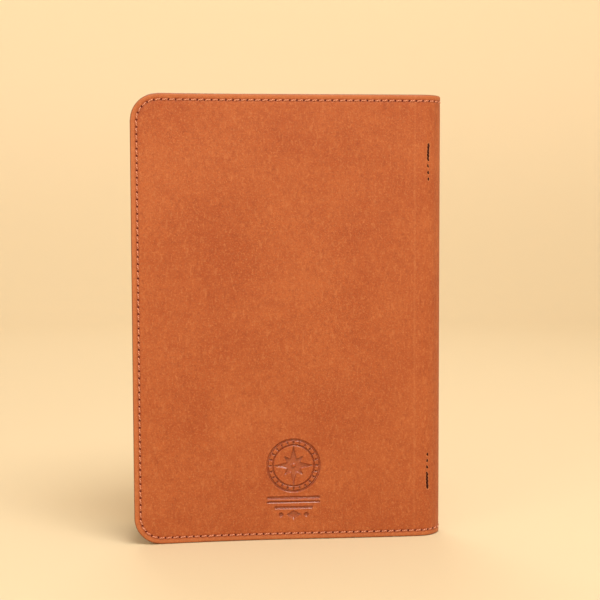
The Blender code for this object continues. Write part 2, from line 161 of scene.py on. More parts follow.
def cut_leather(name, side, lines, outline, corners, faces_at, rounding, joined, material,
                shape=None, relief=None, inner_relief=None):
    """A closed slab of leather. The grid `lines` lies on its outer face and again on its inner face, and
    rings join the two round the edge: a quarter circle, the straight cut and another quarter circle.
    `joined` sides (-1 near, 1 far) are cut square, where the next length carries on. The reliefs press
    the outer and the inner face, each less towards the other. The attribute `hide` holds the place on
    the flat pattern, and `seam` the distances round the seam and in from the edge, and the press."""
    near, far, foot, top = outline
    outer, inner = faces_at
    inset = max(rounding)
    shrunk = (near + (-1 not in joined) * inset, far - (1 not in joined) * inset, foot + inset, top - inset)
    grid_along, grid_height = np.meshgrid(*lines, indexing="ij")
    along, height = round_off(grid_along, grid_height, shrunk, [(r, u, c - inset) for r, u, c in corners])
    if shape:
        along, height = shape(along, height)
    n, m = along.shape
    index = np.arange(n * m).reshape(n, m)
    loop = np.concatenate([index[:-1, 0], index[-1, :-1], index[:0:-1, -1], index[0, :0:-1]])
    edge = np.stack([along.ravel()[loop], height.ravel()[loop]], axis=1)
    step = np.roll(edge, -1, axis=0) - np.roll(edge, 1, axis=0)
    normal = np.stack([step[:, 1], -step[:, 0]], axis=1)
    normal /= np.linalg.norm(normal, axis=1)[:, None]
    at_near, at_far = loop < m, loop >= (n - 1) * m
    for sign, here in ((-1, at_near), (1, at_far)):
        if sign in joined:
            normal[here, 0] = 0
            ends = (loop % m == 0) * -1.0 + (loop % m == m - 1) * 1.0
            normal[here, 1] = ends[here]
    quarter = np.linspace(0, math.pi / 2, 4)
    first, last = rounding
    rings = [(inset - first + first * math.sin(a), outer + first * (1 - math.cos(a))) for a in quarter]
    rings += [(inset - last + last * math.cos(a), inner - last + last * math.sin(a)) for a in quarter]
    rings = [r for r in rings if r[0] > 1e-7]
    flat, deep = [np.stack([along.ravel(), height.ravel()], axis=1)], [np.full(n * m, outer)]
    for out, depth in rings:
        flat.append(edge + normal * out)
        deep.append(np.full(len(loop), depth))
    flat.append(flat[0])
    deep.append(np.full(n * m, inner))
    flat, deep = np.concatenate(flat), np.concatenate(deep)
    sunk = relief(flat[:, 0], flat[:, 1]) if relief else np.zeros((2, len(flat)))
    share = np.clip((inner - deep) / (inner - outer), 0, 1)
    lifted = inner_relief(flat[:, 0], flat[:, 1]) if inner_relief else 0.0
    points = wrap(side, flat[:, 0], deep + sunk[0] * share - lifted * (1 - share), flat[:, 1])
    front = np.stack([index[:-1, :-1], index[1:, :-1], index[1:, 1:], index[:-1, 1:]], axis=-1)
    front = front.reshape(-1, 4)
    count = len(loop)
    bands, below = [], loop
    for i in range(len(rings)):
        ring = n * m + i * count + np.arange(count)
        bands.append(np.stack([below, ring, np.roll(ring, -1), np.roll(below, -1)], axis=-1))
        below = ring
    behind = n * m + len(rings) * count
    back_loop = behind + loop
    bands.append(np.stack([below, back_loop, np.roll(back_loop, -1), np.roll(below, -1)], axis=-1))
    faces = outwards(points, np.concatenate([front] + bands + [behind + front[:, ::-1]]))
    round_wrap = flat[:, 0] if side == BACK else 2 * MIDDLE - flat[:, 0]
    hide = np.stack([round_wrap, flat[:, 1], deep], axis=1)
    open_outline = (near - (-1 in joined), far + (1 in joined), foot, top)
    inset_of = in_from_edge(flat[:, 0], flat[:, 1], open_outline, corners)
    seam = np.stack([along_seam(flat[:, 0], flat[:, 1]), inset_of, sunk[1]], axis=1)
    piece = new_object(name, points, faces, material, {"hide": hide, "seam": seam})
    return piece


def dye(red, green, blue):
    """The linear colour of a dye named by its 0 to 255 values."""
    value = np.array([red, green, blue]) / 255
    linear = np.where(value < 0.04045, value / 12.92, ((value + 0.055) / 1.055) ** 2.4)
    return (*linear.tolist(), 1.0)


def feed(tree, socket, value):
    """Links the socket to another node's output, or sets its own value."""
    if isinstance(value, bpy.types.NodeSocket):
        tree.links.new(value, socket)
    else:
        socket.default_value = value


def add(tree, kind, *values, settings=None, **named):
    """A shader node with its settings. `values` go into its inputs in their order, `named` by name."""
    made = tree.nodes.new("ShaderNode" + kind)
    for key, value in (settings or {}).items():
        setattr(made, key, value)
    for socket, value in zip(made.inputs, values):
        feed(tree, socket, value)
    for key, value in named.items():
        feed(tree, made.inputs[key.replace("_", " ")], value)
    return made


def maths(tree, operation, *values, clamp=False):
    settings = {"operation": operation, "use_clamp": clamp}
    return add(tree, "Math", *values, settings=settings).outputs[0]


def noise(tree, vector, scale, detail, roughness=0.5, distortion=0.0):
    made = add(tree, "TexNoise", Vector=vector, Scale=scale, Detail=detail, Roughness=roughness,
               Distortion=distortion)
    return made.outputs["Fac"]


def fade(tree, value, low, high, to_low=0.0, to_high=1.0):
    """A smooth step from to_low at low to to_high at high."""
    made = add(tree, "MapRange", settings={"interpolation_type": "SMOOTHSTEP"}, Value=value,
               From_Min=low, From_Max=high, To_Min=to_low, To_Max=to_high)
    return made.outputs[0]


def tint(tree, mask, under, over):
    """The colour `under` where the mask is 0 and `over` where it is 1. Inputs 6 and 7 are the colours."""
    made = add(tree, "Mix", mask, settings={"data_type": "RGBA"})
    feed(tree, made.inputs[6], under)
    feed(tree, made.inputs[7], over)
    return made.outputs[2]


def attribute(tree, name):
    """A mesh attribute, whole and split into its three numbers."""
    vector = add(tree, "Attribute", settings={"attribute_name": name}).outputs["Vector"]
    return vector, add(tree, "SeparateXYZ", vector).outputs


def new_group(name, inputs, outputs):
    """A shader node group with these named sockets, and its two end nodes."""
    tree = bpy.data.node_groups.new(name, "ShaderNodeTree")
    for label, kind in inputs:
        tree.interface.new_socket(label, in_out="INPUT", socket_type="NodeSocket" + kind)
    for label in outputs:
        tree.interface.new_socket(label, in_out="OUTPUT", socket_type="NodeSocketFloat")
    return tree, tree.nodes.new("NodeGroupInput").outputs, tree.nodes.new("NodeGroupOutput").inputs


def use(tree, group, **named):
    """A node that holds the group, with its inputs fed by name."""
    made = tree.nodes.new("ShaderNodeGroup")
    made.node_tree = group
    for key, value in named.items():
        feed(tree, made.inputs[key], value)
    return made.outputs


# Grain of the hide: small pebbles with creases between them, fine pores, pale rubbed specks on the tops,
# slow cloudy changes of tone and short slanting stretch marks.
hide_grain, given, out = new_group("Hide Grain", [("Hide", "Vector"), ("Pebble", "Float")],
                                   ["Height", "Speck", "Pore", "Cloud", "Stretch"])
per_pebble = maths(hide_grain, "DIVIDE", 1.0, given["Pebble"])
fine = add(hide_grain, "VectorMath", given["Hide"], settings={"operation": "SCALE"},
           Scale=per_pebble).outputs[0]
bend = add(hide_grain, "TexNoise", Vector=fine, Scale=0.6, Detail=2.0).outputs["Color"]
bent = add(hide_grain, "VectorMath", bend, (0.9, 0.9, 0.9), fine,
           settings={"operation": "MULTIPLY_ADD"}).outputs[0]
cells = add(hide_grain, "TexVoronoi", settings={"feature": "F1"}, Vector=bent, Scale=1.0, Detail=1.0,
            Roughness=0.6)
edges = add(hide_grain, "TexVoronoi", settings={"feature": "DISTANCE_TO_EDGE"}, Vector=bent, Scale=1.0)
dust = noise(hide_grain, fine, 1.05, 4.0, 0.75)
pits = noise(hide_grain, fine, 0.62, 3.0, 0.8, 0.6)
soft = noise(hide_grain, given["Hide"], 26.0, 3.0)
broad = noise(hide_grain, given["Hide"], 210.0, 4.0, 0.65)
slanted = add(hide_grain, "Mapping", given["Hide"], Rotation=(0.0, 0.0, 0.7),
              Scale=(700.0, 330.0, 700.0)).outputs[0]
crease = fade(hide_grain, edges.outputs["Distance"], 0.0, 0.16)
dome = maths(hide_grain, "SUBTRACT", 1.0, cells.outputs["Distance"])
pebbles = maths(hide_grain, "MULTIPLY_ADD", dome, 0.35, maths(hide_grain, "MULTIPLY", crease, 0.45))
pores = maths(hide_grain, "MULTIPLY_ADD", crease, 0.06, pits)
clouds = maths(hide_grain, "MULTIPLY_ADD", broad, 0.4, maths(hide_grain, "MULTIPLY", soft, 0.6))
feed(hide_grain, out["Height"], maths(hide_grain, "MULTIPLY_ADD", dust, 0.5, pebbles))
feed(hide_grain, out["Speck"], fade(hide_grain, dust, 0.50, 0.68))
feed(hide_grain, out["Pore"], fade(hide_grain, pores, 0.52, 0.36))
feed(hide_grain, out["Cloud"], clouds)
feed(hide_grain, out["Stretch"], noise(hide_grain, slanted, 1.0, 3.0, 0.5, 0.8))

# Burnished edge: the rubbed cut edge and the dark line that it leaves just inside the face. It fades as
# 1 - inset / width, and the width is ragged.
burnished_edge, given, out = new_group(
    "Burnished Edge", [("Hide", "Vector"), ("Inset", "Float"), ("Width", "Float")], ["Mask"])
ragged = maths(burnished_edge, "ADD", noise(burnished_edge, given["Hide"], 900.0, 2.0), 0.5)
share = maths(burnished_edge, "DIVIDE", given["Inset"],
              maths(burnished_edge, "MULTIPLY", given["Width"], ragged))
feed(burnished_edge, out["Mask"], maths(burnished_edge, "SUBTRACT", 1.0, share, clamp=True))

# Needle holes: small round holes at every whole stitch, in the line that the awl marked, and the seam's
# groove. The leather paints shade in both from these masks.
needle_holes, given, out = new_group(
    "Needle Holes", [("Along", "Float"), ("Across", "Float"), ("Pitch", "Float"), ("Radius", "Float")],
    ["Hole", "Groove"])
half_pitch = maths(needle_holes, "MULTIPLY", given["Pitch"], 0.5)
nearest = maths(needle_holes, "POWER", maths(needle_holes, "PINGPONG", given["Along"], half_pitch), 2.0)
aside = maths(needle_holes, "POWER", given["Across"], 2.0)
from_hole = maths(needle_holes, "SQRT", maths(needle_holes, "ADD", nearest, aside))
from_line = maths(needle_holes, "ABSOLUTE", given["Across"])
for label, distance, outside in (("Hole", from_hole, 1.25), ("Groove", from_line, 2.2)):
    radii = maths(needle_holes, "DIVIDE", distance, given["Radius"])
    feed(needle_holes, out[label], fade(needle_holes, radii, outside, 0.6))

FOLD_WEAR = 0.0024          # a rubbed line down each cover, just past the spine's curve


def new_material(name):
    """A material with no nodes yet, and its node tree."""
    material = bpy.data.materials.new(name)
    material.use_nodes = True
    material.node_tree.nodes.clear()
    return material, material.node_tree


def finish_leather(name, colours, edge_colour, pebble, grain, roughness, hole_radius, worked=False):
    """A leather material: tone from the clouds, darker pores, paler specks, burnished edge, needle holes dyed
    dark as painted shade, painted shade along the seam's groove, a painted highlight on the strip between the
    seam and the edge, and grain, creases and holes as bump. The colours are the deep, middle, pale and rubbed
    tones; pebble is the grain's size and grain its depth. `worked` hide has the pressed mark, which is
    darkened and polished, with painted shade down its walls, the short rows' slots, dyed dark as painted
    shade, and the rubbed line by the spine as well."""
    material, tree = new_material(name)
    deep, middle, pale, rubbed = colours
    hide, place = attribute(tree, "hide")
    round_seam, inset, press = attribute(tree, "seam")[1]
    surface = use(tree, hide_grain, Hide=hide, Pebble=pebble)
    edge = use(tree, burnished_edge, Hide=hide, Inset=inset, Width=0.0005)["Mask"]
    holes = use(tree, needle_holes, Along=round_seam, Across=maths(tree, "SUBTRACT", inset, SEAM_INSET),
                Pitch=PITCH, Radius=hole_radius)
    hole = holes["Hole"]
    colour = tint(tree, fade(tree, surface["Cloud"], 0.30, 0.68), deep, middle)
    colour = tint(tree, maths(tree, "MULTIPLY", surface["Speck"], 0.62), colour, pale)
    colour = tint(tree, maths(tree, "MULTIPLY", surface["Pore"], 0.45), colour, rubbed)
    colour = tint(tree, fade(tree, surface["Stretch"], 0.54, 0.72, 0.0, 0.26), colour, rubbed)
    colour = tint(tree, fade(tree, surface["Stretch"], 0.46, 0.30, 0.0, 0.30), colour, pale)
    # Painted highlight: the swelling strip between the seam and the cut edge is paled towards the pale tone.
    colour = tint(tree, fade(tree, inset, 0.0026, 0.0016, 0.0, 0.35), colour, pale)
    # Painted shade along the seam's groove, in the rubbed tone.
    colour = tint(tree, maths(tree, "MULTIPLY", holes["Groove"], 0.3), colour, rubbed)
    if worked:
        from_middle = maths(tree, "ABSOLUTE", maths(tree, "SUBTRACT", place["X"], MIDDLE))
        from_wear = maths(tree, "ABSOLUTE", maths(tree, "SUBTRACT", from_middle, FOLD_WEAR - MIDDLE))
        worn = fade(tree, from_wear, 0.0008, 0.0, 0.0, 0.35)
        colour = tint(tree, maths(tree, "MULTIPLY", worn, surface["Cloud"]), colour, pale)
        mark = maths(tree, "MAXIMUM", press, 0.0)
        wall_shade = maths(tree, "MULTIPLY", mark, maths(tree, "SUBTRACT", 1.0, mark))
        slot = maths(tree, "MULTIPLY", press, -1.0)
        colour = tint(tree, maths(tree, "MULTIPLY", mark, 0.42), colour, dye(136, 50, 24))
        # Painted shade down the walls of the pressed mark, darkest halfway down them.
        colour = tint(tree, maths(tree, "MULTIPLY", wall_shade, 0.9), colour, dye(112, 36, 18))
        colour = tint(tree, fade(tree, slot, 0.02, 0.25, 0.0, 0.5), colour, pale)
        slot = fade(tree, slot, 0.30, 0.75)
    colour = tint(tree, edge, colour, edge_colour)
    # Painted shade: the needle holes are dyed a near-black brown.
    colour = tint(tree, hole, colour, dye(84, 22, 9))
    lift = maths(tree, "MULTIPLY_ADD", surface["Stretch"], 0.25, surface["Height"])
    lift = maths(tree, "MULTIPLY", lift, maths(tree, "MULTIPLY_ADD", edge, -0.7, 1.0))
    gloss = maths(tree, "MULTIPLY_ADD", surface["Height"], 0.12, roughness - 0.06)
    gloss = maths(tree, "MULTIPLY_ADD", edge, -0.2, gloss)
    if worked:
        # Painted shade: the short rows' slots are dyed almost black.
        colour = tint(tree, slot, colour, dye(52, 12, 4))
        hole = maths(tree, "MAXIMUM", hole, slot)
        lift = maths(tree, "MULTIPLY", lift, maths(tree, "MULTIPLY_ADD", mark, -0.6, 1.0))
        gloss = maths(tree, "MULTIPLY_ADD", mark, -0.18, gloss)
    lift = maths(tree, "MULTIPLY_ADD", hole, -0.5, lift)
    bump = add(tree, "Bump", Strength=1.0, Distance=grain, Height=lift).outputs["Normal"]
    gloss = maths(tree, "MAXIMUM", gloss, hole)
    shader = add(tree, "BsdfPrincipled", Base_Color=colour, Roughness=gloss, Normal=bump,
                 Specular_IOR_Level=0.35, Coat_Roughness=0.22)
    if worked:
        feed(tree, shader.inputs["Coat Weight"], fade(tree, mark, 0.02, 0.4, 0.0, 0.9))
    add(tree, "OutputMaterial", shader.outputs[0])
    return material


tan_hide = finish_leather(
    "Tan Hide", (dye(149, 68, 26), dye(165, 86, 41), dye(184, 114, 68), dye(128, 56, 22)),
    dye(88, 58, 34), pebble=0.00090, grain=0.00006, roughness=0.54, hole_radius=0.00056, worked=True)

# The mark pressed into the foot of the back cover: a compass rose in a graduated ring, over three rules and
# a lozenge between two dots. Lengths along are from its middle line, heights from the wallet's foot.
MARK_ALONG, MARK_HALF = LENGTH - 0.075, 0.0132
MARK_FOOT, MARK_TOP = 0.0100, 0.0490
PRESSED = 0.00085
COMPASS = 0.0355
CIRCLES = ((0.0123, 0.00042), (0.0098, 0.00024))            # radius and half the line's width
TICK, TICK_HALF_LENGTH, TICK_HALF_WIDTH = 0.0110, 0.0005, 0.00026
POINTS = ((0.0, 0.0090), (math.pi / 4, 0.0060))             # the star's long and short tips
WAIST, EYE = 0.0024, 0.0009
RULES = ((0.0201, 0.0125, 0.0005), (0.0180, 0.0125, 0.0003), (0.0154, 0.0090, 0.0005))
ORNAMENT, DOT_ALONG, DOT = 0.0120, 0.0060, 0.0009


def out_of_mark(x, y):
    """How far a point is outside the mark's lines, below nothing inside them: the least distance to two
    circles with a tick every 15 degrees between them, a star of four long and four short tips with a
    hole in its middle, three rules, a lozenge and two dots."""
    radius, angle = np.hypot(x, y - COMPASS), np.arctan2(y - COMPASS, x)
    shapes = [np.abs(radius - ring) - half for ring, half in CIRCLES]
    from_tick = np.abs((angle + math.pi / 24) % (math.pi / 12) - math.pi / 24) * radius
    shapes.append(np.maximum(from_tick - TICK_HALF_WIDTH, np.abs(radius - TICK) - TICK_HALF_LENGTH))
    star = np.full(radius.shape, 1.0)
    for turn, tip in POINTS:
        fold = np.abs((angle + turn + math.pi / 4) % (math.pi / 2) - math.pi / 4)
        u, v = radius * np.cos(fold), radius * np.sin(fold)
        slope = math.atan2(WAIST * math.sin(math.pi / 4), tip - WAIST * math.cos(math.pi / 4))
        star = np.minimum(star, v * math.cos(slope) + (u - tip) * math.sin(slope))
    shapes.append(np.maximum(star, EYE - radius))
    shapes += [np.maximum(np.abs(x) - half, np.abs(y - at) - thick) for at, half, thick in RULES]
    shapes.append((np.abs(x) / 0.0032 + np.abs(y - ORNAMENT) / 0.0019 - 1) * 0.0016)
    shapes.append(np.hypot(np.abs(x) - DOT_ALONG, y - ORNAMENT) - DOT)
    return np.minimum.reduce(shapes)


def tack_slots(height):
    """The short rows at a height: how open a needle slot is, 0 to 1, how far the row wanders sideways
    and half its width. The slots run together at the row's outer end, where it is sewn twice."""
    from_end = HEIGHT / 2 - TACK_START - np.abs(height - HEIGHT / 2)
    start = np.clip((from_end + 0.0004) / 0.0008, 0, 1)
    stop = np.clip((TACK_LENGTH + 0.0004 - from_end) / 0.0008, 0, 1)
    wave = 0.5 + 0.5 * np.cos(2 * math.pi * from_end / TACK_PITCH)
    twice = np.clip((0.45 * TACK_LENGTH - from_end) / 0.002, 0, 1)
    bow, shake = np.sin(math.pi * from_end / TACK_LENGTH), np.sin(height * 3700.0 + 1.0)
    half = 0.00052 + 0.00022 * (from_end < 0.4 * TACK_LENGTH)
    return start * stop * np.maximum(1 - wave ** 0.6, twice * 0.85), 0.00034 * bow + 0.00012 * shake, half


COVER_CORNERS = [(1, 1, CORNER), (1, -1, CORNER)]


def seam_pull(along, height):
    """The thread draws the leather down along its line in a narrow bell-shaped groove, and the leather
    swells between the groove and the edge. No seam runs at the near side, which is put a metre away."""
    inset = in_from_edge(along, height, (-1.0, LENGTH, 0.0, HEIGHT), COVER_CORNERS)
    groove = 0.00016 * np.exp(-((inset - SEAM_INSET) / 0.0006) ** 2)
    return groove - 0.00008 * np.exp(-((inset - 0.0013) / 0.0007) ** 2)


def back_relief(along, height):
    """How deep the back cover is pressed, and by what: 1 in the mark and -1 in the short rows' slots. The
    die's side is the smooth step 3p^2 - 2p^3, and the leather swells round it."""
    mark = out_of_mark(MARK_ALONG - along, height)
    pressed = 1 - np.clip((mark + 0.00012) / 0.00034, 0, 1)
    pressed = pressed ** 2 * (3 - 2 * pressed)
    swell = 0.00012 * np.exp(-(np.maximum(mark, 0) / 0.0006) ** 2) * (1 - pressed)
    slots, wander, half = tack_slots(height)
    slots = slots * np.exp(-((along - TACK_LINE - wander) / half) ** 2)
    depth = seam_pull(along, height) + PRESSED * pressed - swell + 0.00038 * slots
    return np.stack([depth, pressed - slots])


def plain_relief(along, height):
    return np.stack([seam_pull(along, height), 0 * along])


# The grids that the leather's faces are laid on: close together at the cut edge, in the mark, by the short
# rows and round the spine, and wide apart elsewhere.
WIDE, CLOSE, FINEST = 0.0024, 0.0005, 0.00029
EDGE_STEPS = np.array([0.0007, 0.0012, 0.0018, 0.0022, 0.0026, 0.0030, 0.0034, 0.0038, 0.0043, 0.0052,
                       0.0066, 0.0085, CORNER])
HIGH_ROW = HEIGHT - TACK_START - TACK_LENGTH
row_foot, row_top = HIGH_ROW - 0.0005, HIGH_ROW + TACK_LENGTH + 0.0005
tack_near, tack_far = TACK_LINE - 0.0012, TACK_LINE + 0.0012
mark_near, mark_far = MARK_ALONG - MARK_HALF, MARK_ALONG + MARK_HALF
mark_heights = np.concatenate([
    EDGE_STEPS[EDGE_STEPS < MARK_FOOT], spaced(MARK_FOOT, MARK_TOP, FINEST),
    spaced(MARK_TOP, row_foot, WIDE)[1:], spaced(row_foot, row_top, CLOSE)[1:],
    spaced(row_top, HEIGHT - CORNER, WIDE)[1:], HEIGHT - EDGE_STEPS[-2::-1]])
mark_lines = np.concatenate([
    spaced(HALFWAY, tack_near, CLOSE)[:-1], spaced(tack_near, tack_far, 0.0002),
    spaced(tack_far, 0, CLOSE)[1:-1], spaced(0, mark_near, WIDE)[:-1],
    spaced(mark_near, mark_far, FINEST), spaced(mark_far, LENGTH - CORNER, WIDE)[1:],
    LENGTH - EDGE_STEPS[-2::-1]])
plain_heights = np.concatenate([
    EDGE_STEPS, spaced(CORNER, HEIGHT - CORNER, WIDE)[1:-1], HEIGHT - EDGE_STEPS[::-1]])
plain_lines = np.concatenate([
    spaced(HALFWAY, 0, CLOSE)[:-1], spaced(0, LENGTH - CORNER, WIDE)[:-1], LENGTH - EDGE_STEPS[::-1]])
strip_lines = spaced(MIDDLE, HALFWAY, CLOSE)
FULL = (HALFWAY, LENGTH, 0.0, HEIGHT)
STRIP = (MIDDLE, HALFWAY, 0.0, HEIGHT)


def bend_with_cover(piece, side):
    if side == BACK:
        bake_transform(piece)
    else:
        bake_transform(piece)


def bend_with_spine(piece, side):
    if side == BACK:
        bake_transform(piece)
    else:
        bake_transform(piece)


GAP = 0.00002               # between one layer of leather and the next
COVER_FACES, COVER_MIDDLE = (0.0, 0.00228), 0.0011
COVER_EDGE = (0.0007, 0.0001)
cover_back = cut_leather("cover_leather_back", BACK, (mark_lines, mark_heights), FULL, COVER_CORNERS,
                         COVER_FACES, COVER_EDGE, (-1,), tan_hide, relief=back_relief)
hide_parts("cover_back")
bend_with_cover(cover_back, BACK)
cover_front = cut_leather("cover_leather_front", FRONT, (plain_lines, plain_heights), FULL, COVER_CORNERS,
                          COVER_FACES, COVER_EDGE, (-1,), tan_hide, relief=plain_relief)
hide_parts("cover_front")
bend_with_cover(cover_front, FRONT)
spine_back = cut_leather("cover_leather_spine_back", BACK, (strip_lines, plain_heights), STRIP, [],
                         COVER_FACES, COVER_EDGE, (-1, 1), tan_hide, relief=plain_relief)
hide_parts("cover_spine_back", "cover_spine_middle")
bend_with_spine(spine_back, BACK)
spine_front = cut_leather("cover_leather_spine_front", FRONT, (strip_lines, plain_heights), STRIP, [],
                          COVER_FACES, COVER_EDGE, (-1, 1), tan_hide, relief=plain_relief)
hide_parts("cover_spine_front")
bend_with_spine(spine_front, FRONT)

# Lining: thin split leather glued and sewn over the whole inside, its edge burnished with the cover's.
LINING_FACES, LINING_MIDDLE = (COVER_FACES[1] + GAP, 0.0031), 0.0027
LINING_EDGE = (0.0001, 0.0005)
lining_hide = finish_leather(
    "Lining Hide", (dye(135, 74, 38), dye(147, 86, 48), dye(165, 114, 75), dye(114, 60, 29)),
    dye(95, 65, 34), pebble=0.00060, grain=0.00003, roughness=0.68, hole_radius=0.00040)
for side, word in ((BACK, "back"), (FRONT, "front")):
    piece = cut_leather(f"lining_{word}_cover", side, (plain_lines, plain_heights), FULL, COVER_CORNERS,
                        LINING_FACES, LINING_EDGE, (-1,), lining_hide, inner_relief=seam_pull)
    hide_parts(f"lining_{word}")
    bend_with_cover(piece, side)
    piece = cut_leather(f"lining_spine_{word}_strip", side, (strip_lines, plain_heights), STRIP, [],
                        LINING_FACES, LINING_EDGE, (-1, 1), lining_hide, inner_relief=seam_pull)
    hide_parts(f"lining_spine_{word}", *(["lining_spine_middle"] if side == BACK else []))
    bend_with_spine(piece, side)

# Passport pocket and document pocket: a full-height panel of smooth leather on each side, sewn in on
# three sides and open towards the spine. The passport's cover slides in between the two short rows.
POCKET_FACES, POCKET_MIDDLE = (LINING_FACES[1] + GAP, 0.0044), 0.0038
PASSPORT_MOUTH, DOCUMENT_MOUTH = TACK_LINE - 0.0018, 0.0040
MOUTH_STEPS = np.array([0.0004, 0.0008, 0.0012, 0.0015, 0.00175, 0.0020, 0.00225, 0.0025, 0.0030])
MOUTH_ROUND = 0.0012
pocket_hide = finish_leather(
    "Pocket Hide", (dye(146, 73, 33), dye(156, 83, 44), dye(172, 112, 72), dye(124, 57, 25)),
    dye(100, 62, 33), pebble=0.00070, grain=0.00004, roughness=0.60, hole_radius=0.00042)


def mouth_crease(along, height):
    """A pressed crease line runs 2 mm in from each pocket's mouth, beside the seam's own pull."""
    from_mouths = [along - mouth - 0.0020 for mouth in (PASSPORT_MOUTH, DOCUMENT_MOUTH)]
    crease = sum(np.exp(-(distance / 0.0003) ** 2) for distance in from_mouths)
    return 0.00022 * crease + seam_pull(along, height)


for side, word, mouth in ((BACK, "passport", PASSPORT_MOUTH), (FRONT, "document", DOCUMENT_MOUTH)):
    across = np.concatenate([mouth + MOUTH_STEPS, spaced(mouth + 0.0030, LENGTH - CORNER, 0.0015)[1:-1],
                             LENGTH - EDGE_STEPS[::-1]])
    corners = COVER_CORNERS + [(-1, 1, MOUTH_ROUND), (-1, -1, MOUTH_ROUND)]
    piece = cut_leather(f"{word}_pocket_panel", side, (across, plain_heights),
                        (mouth, LENGTH, 0.0, HEIGHT), corners, POCKET_FACES, (0.0002, 0.0004), (),
                        pocket_hide, inner_relief=mouth_crease)
    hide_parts(f"{word}_pocket")
    bend_with_cover(piece, side)

# Four stepped card pockets on the document pocket. The lowest is a rectangle; the others are T-shaped,
# so that only their wings reach the side seams and the stack stays thin.
CARD_LEATHER, CARD_PITCH, CARD_DEPTH = 0.0008, 0.0011, 0.0047
CARD_FAR = LENGTH - 0.008
CARD_NEAR = CARD_FAR - 0.096
CARD_HEIGHT, CARD_STEP, CARD_OVERLAP, CARD_TUCK = 0.052, 0.014, 0.006, 0.004
CARD_FOOT = 0.010
CARD_SEAM = 0.0025          # its seam, in from the sides
CARD_CORNERS = [(right, up, 0.0010) for right in (-1, 1) for up in (-1, 1)]
card_hide = finish_leather(
    "Card Pocket Hide", (dye(146, 71, 32), dye(158, 83, 44), dye(174, 114, 74), dye(120, 53, 23)),
    dye(95, 58, 31), pebble=0.00070, grain=0.00004, roughness=0.58, hole_radius=0.00001)
side_steps = np.array([0.0003, 0.0008, 0.0014, 0.0020, 0.0028])
card_lines = np.concatenate([CARD_NEAR + side_steps, spaced(CARD_NEAR + 0.0035, CARD_FAR - 0.0035, 0.0016),
                             CARD_FAR - side_steps[::-1]])


def card_top(number):
    """The height of a pocket's mouth. The pockets are numbered from the highest, which lies deepest."""
    return CARD_FOOT + CARD_HEIGHT + (4 - number) * CARD_STEP


for number in (1, 2, 3, 4):
    top, foot = card_top(number), card_top(number) - CARD_HEIGHT
    wing = top - CARD_STEP - CARD_OVERLAP

    def narrow(along, height, wing=wing, last=number == 4):
        """Below the wings the body narrows by the tuck on each side, over half a millimetre."""
        middle, half = (CARD_NEAR + CARD_FAR) / 2, (CARD_FAR - CARD_NEAR) / 2
        tuck = 0.0 if last else CARD_TUCK * np.clip((wing - height) / 0.0005 + 0.5, 0, 1)
        return middle + (along - middle) * (half - tuck) / half, height

    def card_relief(along, height, top=top):
        """A crease 2 mm below the mouth, and the pull of the side seams."""
        from_seam = np.minimum(np.abs(along - CARD_NEAR - CARD_SEAM), np.abs(along - CARD_FAR + CARD_SEAM))
        crease = 0.0002 * np.exp(-((top - height - 0.0020) / 0.0003) ** 2)
        return crease + 0.00014 * np.exp(-(from_seam / 0.0006) ** 2)

    rows = [foot + 0.0003, foot + 0.0008, foot + 0.0015] + spaced(foot + 0.003, top - 0.003, 0.0018).tolist()
    rows += [wing - 0.0004, wing, wing + 0.0004] if number < 4 else []
    rows += [top - step for step in (0.0024, 0.0022, 0.0020, 0.0018, 0.0016, 0.0012, 0.0008, 0.0003)]
    depth = CARD_DEPTH + (number - 1) * CARD_PITCH
    below = POCKET_FACES[1] if number == 1 else depth - CARD_PITCH + CARD_LEATHER
    piece = cut_leather(f"card_pocket_{number}_leather", FRONT, (card_lines, np.array(sorted(rows))),
                        (CARD_NEAR, CARD_FAR, foot, top), CARD_CORNERS, (below + GAP, depth + CARD_LEATHER),
                        (0.00015, 0.0003), (), card_hide, shape=narrow, inner_relief=card_relief)
    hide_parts(f"card_pocket_{number}")
    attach(piece, "front")

# Seam thread: a bonded thread, dusty tan, lockstitched round three sides of each cover and on round the
# spine. Each stitch is one bead of thread that dives into a needle hole at both ends.
THREAD, SLANT = 0.00036, 0.00020
INSIDE_MIDDLE = 0.0036      # where the inside row bends
BEAD_RINGS, BEAD_SIDES = 7, 5


def dye_thread(name, light, dark, roughness):
    """A twisted thread: its plies are the stripes of sin(5200 along + 2 angle round it), coloured as
    painted highlight on each ply's crown and painted shade between the plies.
    """
    material, tree = new_material(name)
    ply = attribute(tree, "ply")[1]
    turned = maths(tree, "MULTIPLY", maths(tree, "ARCTAN2", ply["Z"], ply["Y"]), 2.0)
    wind = maths(tree, "SINE", maths(tree, "MULTIPLY_ADD", ply["X"], 5200.0, turned))
    stripe = fade(tree, wind, -0.6, 0.8)
    fluff = noise(tree, add(tree, "TexCoord").outputs["Object"], 2600.0, 2.0)
    # Painted highlight on the plies' crowns and painted shade between them, broken by fuzz.
    ply_highlight_and_fuzz = maths(tree, "MULTIPLY", stripe, fade(tree, fluff, 0.2, 0.7, 0.6, 1.0))
    bump = add(tree, "Bump", Strength=0.8, Distance=0.00006, Height=stripe).outputs["Normal"]
    shader = add(tree, "BsdfPrincipled", Base_Color=tint(tree, ply_highlight_and_fuzz, dark, light), Roughness=roughness,
                 Normal=bump, Specular_IOR_Level=0.15)
    add(tree, "OutputMaterial", shader.outputs[0])
    return material


seam_thread = dye_thread("Seam Thread", dye(226, 160, 130), dye(160, 92, 66), 0.75)


